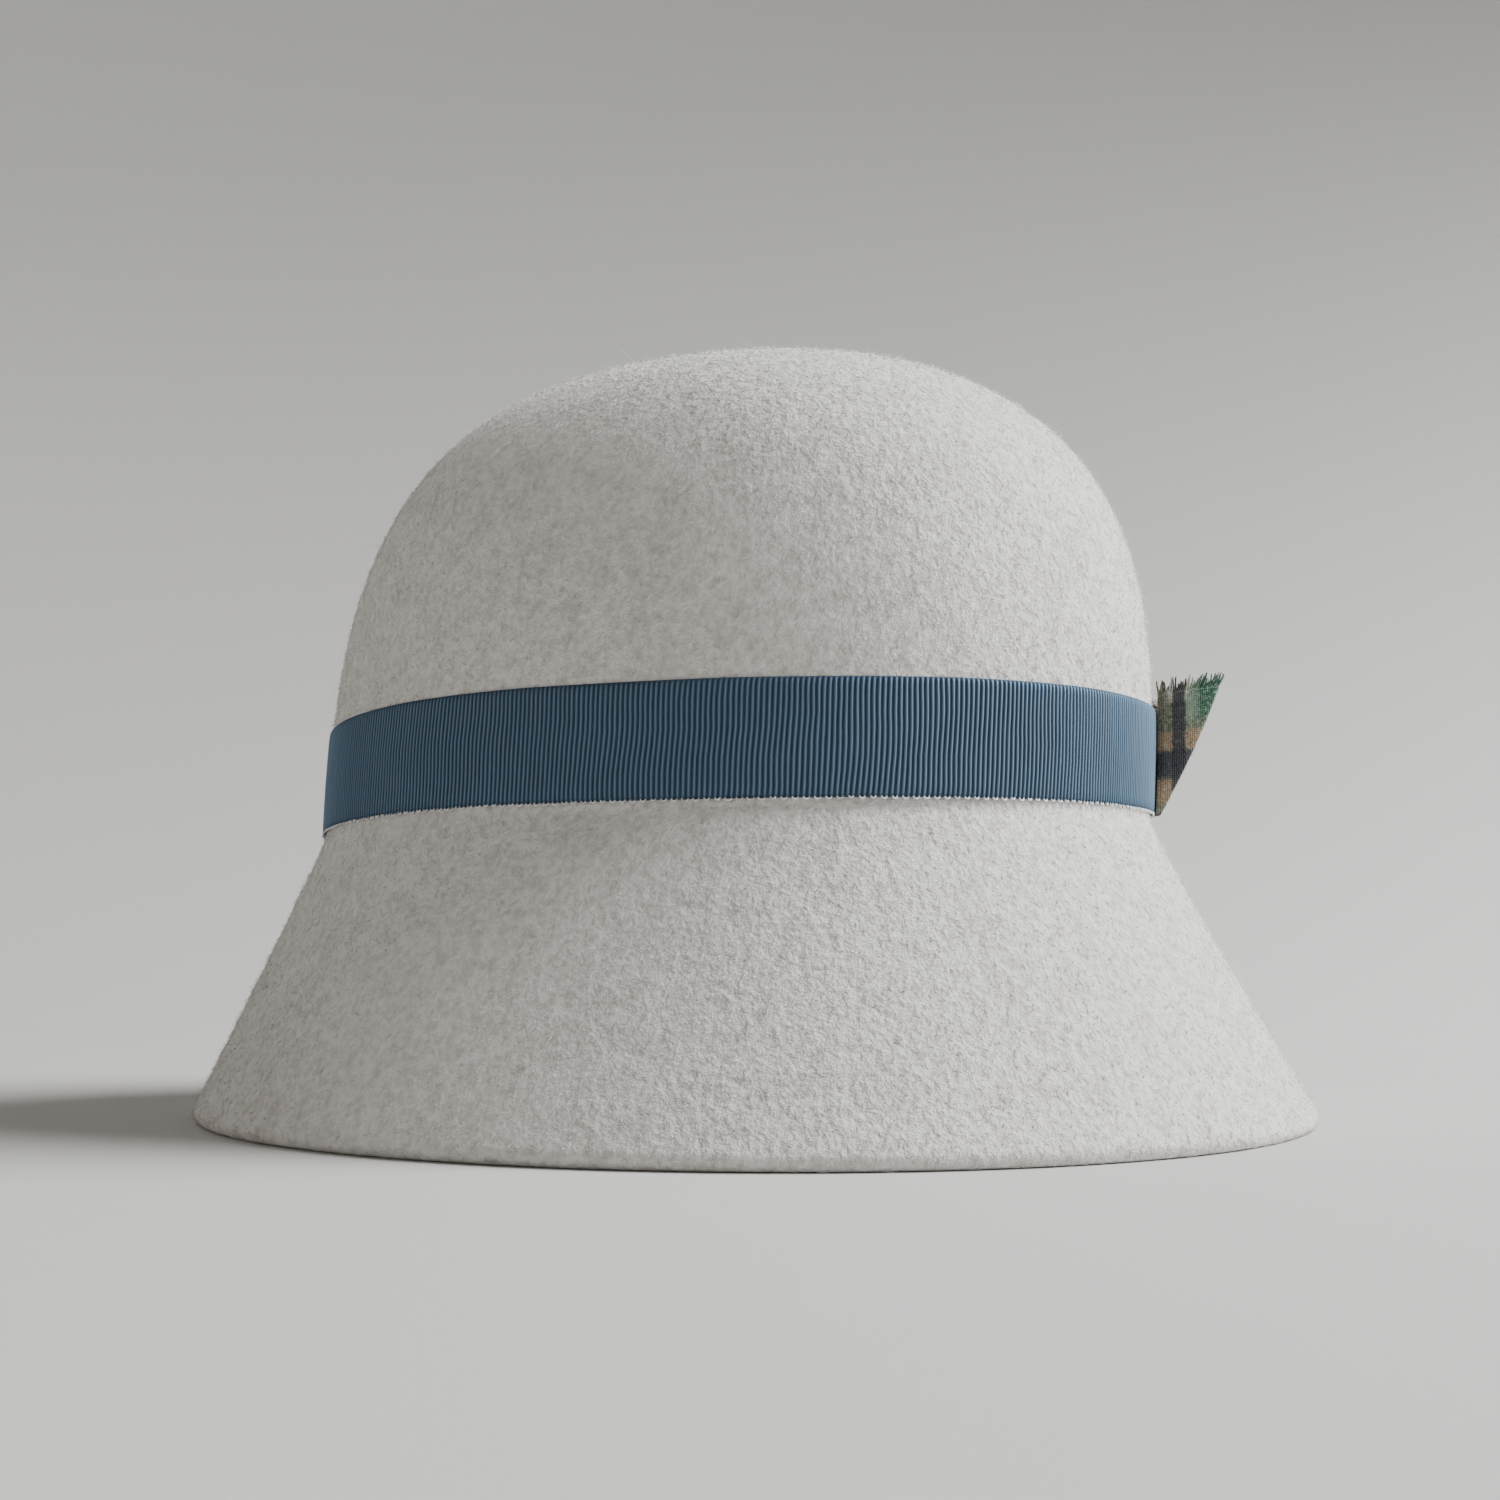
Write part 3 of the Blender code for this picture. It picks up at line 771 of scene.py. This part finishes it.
def build_fan_cloth():
    """The folded cloth. Its map goes out from the ribbon and down from the fringe, so that every
    panel shows the same bands."""
    front, back, uv = [], [], []
    for share in CLOTH_SHARE * np.linspace(0, 1, FAN_ROWS):
        line = fan_line(share)
        run = run_along(line)
        taper = np.clip(THIN_EDGE + np.minimum(run, run[-1] - run) / THIN_EDGE_RUN, 0, 1)
        side = fan_offsets(line) * (CLOTH / 2 * taper)[:, None]
        ragged = RAGGED_TOP * np.array(
            [noise.noise(Vector((i * RAGGED_PACE, 0, RAGGED_LAYER))) for i in range(len(line))])
        lift = ragged * max(0.0, (share / CLOTH_SHARE - RAGGED_FROM) / (1 - RAGGED_FROM))
        for target, points in ((front, line + side), (back, line - side)):
            height = fan_height(share, line[:, 1]) + lift
            target.append(fan_seat(points[:, 0], height, points[:, 1]))
        depth = fan_height(1.0, line[:, 1]) - fan_height(share, line[:, 1])
        uv.append(np.stack([line[:, 1], depth], 1))
    columns = len(front[0])
    vertices = np.concatenate(front + back)
    half = FAN_ROWS * columns
    grid = np.arange(half).reshape(FAN_ROWS, columns)
    quads = np.stack([grid[:-1, :-1], grid[:-1, 1:], grid[1:, 1:], grid[1:, :-1]], -1)
    quads = quads.reshape(-1, 4)
    rim = np.concatenate([grid[0, :], grid[1:, -1], grid[-1, -2::-1], grid[-2:0:-1, 0]])
    wall = np.stack([rim, rim + half, np.roll(rim, -1) + half, np.roll(rim, -1)], 1)
    uv = np.concatenate([np.concatenate(uv)] * 2) * PLAID_MAP
    faces = [np.concatenate([quads, quads[:, ::-1] + half, wall])]
    return make_mesh("plaid_fan_cloth", vertices, faces, plaid_look, uv)


def build_fan_yarns():
    """The frayed top: yarns that run on past the last woven thread, longer in tufts."""
    line, top_line = fan_line(CLOTH_SHARE), fan_line(1.0)
    length, top_length = run_along(line), run_along(top_line)
    places = np.arange(YARN_PITCH / 2, length[-1], YARN_PITCH)
    places = places + rng.uniform(-YARN_JITTER, YARN_JITTER, len(places)) * YARN_PITCH
    places = places[rng.random(len(places)) > YARN_MISSING]
    count = len(places)
    rise = np.linspace(YARN_ROOT, 1.0, YARN_POINTS)[None]
    drift = TUFT_DRIFT * np.sin(places / TUFT_DRIFT_PITCH)
    tuft = 0.5 + 0.5 * np.sin(places / TUFT_PITCH * math.pi + drift)[:, None]
    ragged = rng.uniform(*YARN_RAGGED, (count, 1))
    reach = FRINGE_LENGTH * np.clip(YARN_SHORT + YARN_MORE_IN_TUFT * tuft + ragged, *YARN_REACHES)
    lean_across = rng.normal(0, LEAN_ACROSS, (count, 1))
    lean_out = rng.normal(0, LEAN_OUT, (count, 1))
    curl = rng.uniform(0, 2 * math.pi, (count, 1)) + CURL_TURNS * rise
    spread = np.maximum(rise, 0) ** LEAN_POWER

    def across_and_proud(along, run, points):
        return [np.interp(along, run, points[:, k])[:, None] for k in (0, 1)]

    base = across_and_proud(places, length, line)
    tip = across_and_proud(places * (top_length[-1] / length[-1]), top_length, top_line)
    across = base[0] + (tip[0] - base[0]) * rise + lean_across * spread
    proud = base[1] + (tip[1] - base[1]) * rise + lean_out * spread
    across = across + CURL * np.sin(curl) * spread
    proud = np.clip(proud + CURL * np.cos(curl) * spread, CLOTH / 2, None)
    height = fan_height(CLOTH_SHARE, base[1]) + reach * rise
    paths = fan_seat(across, height, proud)
    radii = YARN_RADIUS * (1 - YARN_TAPER * np.maximum(rise, 0) ** 2)
    radii = radii * rng.uniform(*YARN_THICKNESSES, (count, 1))
    vertices, faces = tubes(paths, radii, YARN_SIDES)
    uv = np.stack([base[1] + 0 * rise, fan_height(1.0, base[1]) - height], -1).reshape(-1, 2)
    return make_mesh("plaid_fan_fringe", vertices, faces, plaid_look,
                     np.repeat(uv, YARN_SIDES, axis=0) * PLAID_MAP)


def plaid_material():
    """A woven plaid: stripes of yarn up the cloth, bands across it, and a dark square where two
    dark ones cross."""
    n = Nodes("wool_plaid")
    uv = n.cloth_map()
    wobble = n.add("ShaderNodeTexNoise", {"Vector": uv, "Scale": WOBBLE_SCALE, "Detail": 3.0})
    wobble = n.vector_math("SUBTRACT", {0: wobble.outputs["Color"], 1: (0.5, 0.5, 0.5)})
    wobble = n.vector_math("SCALE", {0: wobble, "Scale": WOBBLE_SIZE})
    place = n.vector_math("ADD", {0: uv, 1: wobble})
    parts = n.add("ShaderNodeSeparateXYZ", {"Vector": place})
    outwards = n.math("MULTIPLY", parts.outputs["X"], 1 / (PLAID_MAP * REPEAT_OUT))
    down = n.math("MULTIPLY", parts.outputs["Y"], 1 / (PLAID_MAP * REPEAT_DOWN))

    colour = n.ramp(outwards, PLAID_STRIPES)
    stripe, band = n.mask(outwards, DARK_STRIPE), n.mask(down, DARK_BANDS)
    cream = n.math("MULTIPLY", n.mask(outwards, CREAM_STRIPES), n.mask(down, CREAM_DEPTH))
    for mask, share, tone in (
        (n.mask(down, OLIVE_DEPTH), OLIVE_MIX, OLIVE),
        (n.mask(down, TAN_BANDS), TAN_MIX, TAN),
        (band, DARK_BAND_MIX, BLACK),
        (cream, CREAM_MIX, CREAM),
        (stripe, DARK_STRIPE_MIX, BLACK),
    ):
        colour = n.mix(n.math("MULTIPLY", mask, share), colour, tone)

    fleck = n.noise(uv, **PALE_FLECKS)
    pale = n.math("MULTIPLY_ADD", fleck, PALE_GAIN, PALE_SHIFT, clamp=True)
    dark = n.math("ADD", stripe, band)
    on_light = n.math("MULTIPLY_ADD", dark, PALE_LESS_ON_DARK, 1.0, clamp=True)
    colour = n.mix(n.math("MULTIPLY", pale, on_light), colour, PALE)
    deep = n.noise(uv, **DEEP_FLECKS)
    deep = n.math("MULTIPLY_ADD", deep, DEEP_GAIN, DEEP_SHIFT, clamp=True)
    colour = n.mix(n.math("MULTIPLY", deep, DEEP_MIX), colour, BLACK)
    weaves = [n.add("ShaderNodeTexWave", {"Vector": uv, **WEAVE}, wave_type="BANDS",
                    bands_direction=direction, wave_profile="SIN").outputs["Fac"]
              for direction in "XY"]
    weave = n.math("MULTIPLY", *weaves)
    normal = n.bump(weave, strength=0.7, distance=0.0003)
    normal = n.bump(fleck, strength=0.6, distance=0.0003, normal=normal)
    # Painted shade between the yarns, lifted where the weave pattern is high.
    lit = n.math("MULTIPLY", weave, WEAVE_MIX)
    colour = n.mix(lit, n.mix(WEAVE_SHADE, colour, BLACK), colour)
    n.set(Base_Color=colour, Normal=normal, Roughness=0.88)
    n.set(Specular_IOR_Level=0.2, Sheen_Weight=0.15, Sheen_Roughness=0.5)
    return n.material


plaid_look = plaid_material()
fan_cloth = build_fan_cloth()
fan_fringe = build_fan_yarns()
for piece in (fan_cloth, fan_fringe):
    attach(piece, "root")
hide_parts("plaid_fan")

# ---- The nap of the felt and of the plaid ----
ABOVE_FLOOR = 0.0001  # no fibre goes lower
FIBRE_SINK = 0.00008
FIBRE_REACHES, FIBRE_STANDS = (0.5, 1.5), (3.0, 0.333)
FIBRE_THIN, FIBRE_MORE, FIBRE_WIDTHS = 0.7, 2.6, (1, 3.5)
FIBRE_BASE_HEIGHT = 1.6  # half widths
HAIR_POINTS, HAIR_SIDES = 7, 3
HAIR_SINK = 0.0001
HAIR_REACHES, HAIR_STANDS, HAIR_ARCS = (0.4, 1.6), (2.0, 0.5), (1.6, 3.1)
HAIR_WAVE, HAIR_WAVE_TURN = 0.22, 4.2
HAIR_THICKNESSES, HAIR_TAPER = (0.6, 1.3), 0.7
FACES_OUT = 0.1  # a face is outside if its normal points away from the middle by more than this
FOLD_ZONE = 0.0045  # and below this height anyway
NAP_SPLIT = BRIM_DEPTH_SIDE + 0.005  # the height where the crown's nap ends and the brim's begins


def sample_mesh(obj, count, wanted):
    """Random points on a mesh, evenly by area, where wanted(points, normals) gives each face's
    chance. Returns the points, the normals and the places on the cloth's own map, if it has
    one."""
    mesh = obj.data
    mesh.calc_loop_triangles()
    triangles = np.empty((2, len(mesh.loop_triangles) * 3), np.int32)
    mesh.loop_triangles.foreach_get("vertices", triangles[0])
    mesh.loop_triangles.foreach_get("loops", triangles[1])
    co = np.empty(len(mesh.vertices) * 3, np.float32)
    mesh.vertices.foreach_get("co", co)
    corners = co.reshape(-1, 3)[triangles[0].reshape(-1, 3)].astype(float)
    cross = np.cross(corners[:, 1] - corners[:, 0], corners[:, 2] - corners[:, 0])
    area = np.linalg.norm(cross, axis=1) / 2
    normals = unit(cross)
    chance = area * wanted(corners.mean(1), normals)
    picks = rng.choice(len(area), count, p=chance / chance.sum())
    u, v = rng.random((2, count, 1))
    flip = (u + v) > 1
    u, v = np.where(flip, 1 - u, u), np.where(flip, 1 - v, v)

    def blend(three):
        return three[:, 0] + (three[:, 1] - three[:, 0]) * u + (three[:, 2] - three[:, 0]) * v

    uv = None
    if mesh.uv_layers:
        flat = np.empty(len(mesh.loops) * 2, np.float32)
        mesh.uv_layers[0].data.foreach_get("uv", flat)
        uv = blend(flat.reshape(-1, 2)[triangles[1].reshape(-1, 3)][picks])
    return blend(corners[picks]), normals[picks], uv


def build_nap(name, obj, count, wanted, length, lift, half_width, material):
    """Short wool fibres and locks of them: each is a thin closed spike that leans over the
    cloth."""
    root, normal, uv = sample_mesh(obj, count, wanted)
    side = unit(np.cross(normal, rng.standard_normal((count, 3))))
    reach = length * rng.uniform(*FIBRE_REACHES, (count, 1))
    stand = lift * rng.gamma(*FIBRE_STANDS, (count, 1))
    tip = root + side * reach + normal * stand
    tip[:, 2] = np.maximum(tip[:, 2], ABOVE_FLOOR)
    width = half_width * (FIBRE_THIN + FIBRE_MORE * rng.beta(*FIBRE_WIDTHS, (count, 1)))
    across = unit(np.cross(side, normal))
    base = root - normal * FIBRE_SINK
    back = base + normal * width * FIBRE_BASE_HEIGHT
    vertices = np.stack([base + across * width, base - across * width, back, tip], 1)
    first = np.arange(count)[:, None] * 4
    faces = np.concatenate([first + k for k in ((0, 2, 1), (0, 1, 3), (1, 2, 3), (2, 0, 3))])
    uv = None if uv is None else np.repeat(uv, 4, axis=0)
    return make_mesh(name, vertices.reshape(-1, 3), [faces], material, uv)


def build_hairs(name, obj, count, wanted, length, lift, radius, material):
    """Long stray hairs that leave the felt, curl and come back to it."""
    root, normal, _ = sample_mesh(obj, count, wanted)
    side = unit(np.cross(normal, rng.standard_normal((count, 3))))
    across = np.cross(side, normal)
    line = np.linspace(0, 1, HAIR_POINTS)
    way = line[None, :, None]
    reach = length * rng.uniform(*HAIR_REACHES, (count, 1, 1))
    stand = lift * rng.gamma(*HAIR_STANDS, (count, 1, 1))
    curl = rng.uniform(0, 2 * math.pi, (count, 1, 1))
    wave = reach * HAIR_WAVE * (np.sin(curl + way * HAIR_WAVE_TURN) - np.sin(curl))
    arc = rng.uniform(*HAIR_ARCS, (count, 1, 1))
    rise = stand * np.sin(way * arc) - HAIR_SINK * (1 - way)
    paths = root[:, None] + side[:, None] * reach * way + across[:, None] * wave
    paths = paths + normal[:, None] * rise
    paths[..., 2] = np.maximum(paths[..., 2], ABOVE_FLOOR)
    radii = radius * rng.uniform(*HAIR_THICKNESSES, (count, 1))
    radii = radii * (1 - HAIR_TAPER * line[None] ** 2)
    vertices, faces = tubes(paths, radii, HAIR_SIDES)
    return make_mesh(name, vertices, faces, material)


def outside_share(points, normals):
    """1 on the felt's outer face, and 0 inside and under the ribbon."""
    away = points - np.array([0, CROWN_SET_BACK, BRIM_DEPTH_SIDE])
    away[:, 2] = np.maximum(away[:, 2], 0)
    outside = ((normals * unit(away)).sum(1) > FACES_OUT) | (points[:, 2] < FOLD_ZONE)
    angle = np.arctan2(points[:, 1] - CROWN_SET_BACK, points[:, 0])
    above = points[:, 2] - crease_height(angle) - RIBBON_ABOVE_CREASE
    hidden = (above > 0.0) & (above < RIBBON_WIDTH)
    return (outside & ~hidden).astype(float)


def crown_share(points, normals):
    return outside_share(points, normals) * (points[:, 2] > NAP_SPLIT)


def brim_share(points, normals):
    return outside_share(points, normals) * (points[:, 2] <= NAP_SPLIT)


def everywhere(points, normals):
    return np.ones(len(points))


# Name, builder, cloth, how many, where, length, lift, half width, look, slot.
FIBRES = (
    ("felt_nap_crown", build_nap, felt, 48000, crown_share, 0.0015, 0.0005, 0.00005, nap_look,
     "felt"),
    ("felt_nap_brim", build_nap, felt, 46000, brim_share, 0.0015, 0.0005, 0.00005, nap_look,
     "felt"),
    ("felt_hairs", build_hairs, felt, 2600, outside_share, 0.0034, 0.0009, 0.000035, nap_look,
     "felt"),
    ("plaid_fan_nap", build_nap, fan_cloth, 4500, everywhere, 0.0007, 0.00022, 0.00004,
     plaid_look, "plaid"),
)
for name, build, cloth, number, where, length, lift, half_width, look, slot in FIBRES:
    nap = build(name, cloth, number, where, length, lift, half_width, look)
    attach(nap, "root")

# ---- The floor, the lights and the camera ----
VIEW_AZIMUTH, VIEW_ELEVATION, VIEW_DISTANCE = -60, -5, 0.512
VIEW_TARGET = (0.0, 0.0, 0.088)
LENS, SENSOR, CLIP_START = 50.0, 36.0, 0.01
FLOOR_RADIUS, FLOOR_CURVE, WALL_HEIGHT = 0.42, 2.6, 3.4
FLOOR_MIDDLE, FLOOR_SIDES, CURVE_POINTS = 0.2, 96, 41
FLOOR_HEIGHT = -0.0002
FLOOR_COLOUR = (0.50, 0.488, 0.47, 1)
LIGHT_TARGET = (0, 0, 0.09)
# Name, azimuth, elevation, distance, size, watts, colour.
LIGHTS = (
    ("key", 32, 43, 2.4, 1.3, 146, (0.95, 0.975, 1.0)),
    ("window", 24, 21, 1.9, 0.7, 13, (0.95, 0.975, 1.0)),
    ("fill", -112, 22, 1.5, 1.2, 0.9, (1.0, 0.80, 0.62)),
    ("back", 165, 52, 2.2, 1.2, 6, (1.0, 0.97, 0.93)),
)
AIR_COLOUR, AIR_STRENGTH = (0.94, 0.85, 0.75, 1), 0.05


def look_at(obj, target):
    obj.rotation_euler = (Vector(target) - obj.location).to_track_quat("-Z", "Y").to_euler()


def from_angle(azimuth, elevation, distance, target):
    """A place seen from the target: azimuth 0 is in front of the hat, and elevation is above the
    floor."""
    a, e = math.radians(azimuth), math.radians(elevation)
    way = Vector((math.sin(a) * math.cos(e), -math.cos(a) * math.cos(e), math.sin(e)))
    return Vector(target) + way * distance


def add_camera():
    data = bpy.data.cameras.new("camera")
    data.lens = LENS
    data.sensor_width = SENSOR
    data.sensor_height = SENSOR
    data.clip_start = CLIP_START
    camera = bpy.data.objects.new("camera", data)
    bpy.context.scene.collection.objects.link(camera)
    camera.location = from_angle(VIEW_AZIMUTH, VIEW_ELEVATION, VIEW_DISTANCE, VIEW_TARGET)
    look_at(camera, VIEW_TARGET)
    bpy.context.scene.camera = camera


def build_floor():
    """A pale floor that curves up all round into a plain wall."""
    n = Nodes("pale_floor")
    n.set(Base_Color=FLOOR_COLOUR, Roughness=0.9)
    n.set(Specular_IOR_Level=0.15)
    profile = [(FLOOR_MIDDLE, 0.0), (FLOOR_RADIUS, 0.0)]
    for a in np.linspace(0, math.pi / 2, CURVE_POINTS)[1:]:
        rise = FLOOR_CURVE * (1 - math.cos(a))
        profile.append((FLOOR_RADIUS + FLOOR_CURVE * math.sin(a), rise))
    profile.append((FLOOR_RADIUS + FLOOR_CURVE, WALL_HEIGHT))
    theta = ring_angles(FLOOR_SIDES)
    rings = [np.stack([r * np.cos(theta), r * np.sin(theta), 0 * theta + z + FLOOR_HEIGHT], 1)
             for r, z in profile]
    index = [np.arange(FLOOR_SIDES) + FLOOR_SIDES * i for i in range(len(rings))]
    faces = [bridge(two, one)[0] for one, two in zip(index, index[1:])]
    centre = np.full(FLOOR_SIDES, FLOOR_SIDES * len(rings))
    middle = np.stack([np.roll(index[0], -1), index[0], centre], 1)[:, ::-1]
    vertices = np.concatenate(rings + [np.array([[0, 0, FLOOR_HEIGHT]])])
    floor = make_mesh("floor", vertices, [np.concatenate(faces), middle], n.material)


def area_light(name, azimuth, elevation, distance, size, power, colour):
    data = bpy.data.lights.new(name, "AREA")
    data.shape = "DISK"
    data.size = size
    data.energy = power
    data.color = colour
    obj = bpy.data.objects.new(name, data)
    bpy.context.scene.collection.objects.link(obj)
    obj.location = from_angle(azimuth, elevation, distance, LIGHT_TARGET)
    look_at(obj, LIGHT_TARGET)


add_camera()
build_floor()
for light in LIGHTS:
    area_light(*light)

world = bpy.data.worlds.new("studio")
world.use_nodes = True
world.node_tree.nodes["Background"].inputs["Color"].default_value = AIR_COLOUR
world.node_tree.nodes["Background"].inputs["Strength"].default_value = AIR_STRENGTH
bpy.context.scene.world = world
